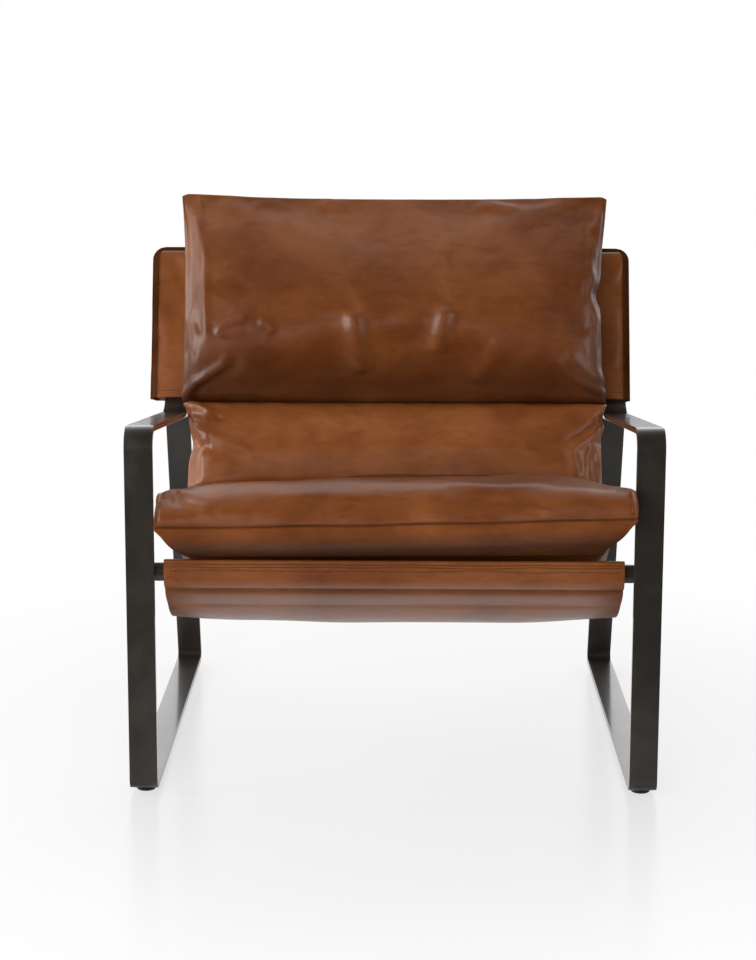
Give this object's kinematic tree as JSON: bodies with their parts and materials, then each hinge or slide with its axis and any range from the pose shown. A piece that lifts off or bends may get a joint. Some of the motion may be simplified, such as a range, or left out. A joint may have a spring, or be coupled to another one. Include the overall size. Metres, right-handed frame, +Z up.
{
  "type": "leather sling lounge chair",
  "caption": "Low lounge chair with bent flat-bar steel sled frames, a leather sling slipped over the back, and one loose leather cushion sewn into seat, lumbar and head sections.",
  "frame": {"origin": "on the floor, at the middle of the whole chair's width and depth", "axes": "+Z up, the chair faces -Y, +X to the right of someone looking at its front"},
  "size_m": [0.746, 0.7232, 0.7811],
  "materials": {
    "frame_steel": "dark gunmetal, satin, lightly scuffed",
    "glide_plastic": "matte black",
    "screw_steel": "zinc plated",
    "sling_leather": "thick saddle leather, waxed, semi-gloss",
    "cushion_leather": "soft waxed leather, mottled, soft gloss",
    "cushion_fill": "off-white fibre wadding round foam",
    "zip_tape": "brown woven tape with closed teeth"
  },
  "bodies": {
    "frame": {"left_arm_bar": "frame_steel", "right_arm_bar": "frame_steel", "left_sled_bar": "frame_steel", "right_sled_bar": "frame_steel", "front_bar": "frame_steel", "rear_stretcher": "frame_steel", "back_top_rail": "frame_steel", "front_left_glide": "glide_plastic", "front_right_glide": "glide_plastic", "rear_left_glide": "glide_plastic", "rear_right_glide": "glide_plastic", "front_left_glide_screw": "screw_steel", "front_right_glide_screw": "screw_steel", "rear_left_glide_screw": "screw_steel", "rear_right_glide_screw": "screw_steel", "back_hood": "sling_leather", "seat_sling": "sling_leather"},
    "cushion": {"seat_cushion_cover": "cushion_leather", "lumbar_cushion_cover": "cushion_leather", "head_cushion_cover": "cushion_leather", "seat_cushion_core": "cushion_fill", "lumbar_cushion_core": "cushion_fill", "head_cushion_core": "cushion_fill", "seat_cushion_zip": "zip_tape", "lumbar_cushion_zip": "zip_tape", "head_cushion_zip": "zip_tape"}
  },
  "joints": [
    {"name": "cushion_lift", "type": "slide", "parent": "frame", "child": "cushion", "axis": [0, 0, 1], "range_m": [0, 0.5]}
  ]
}
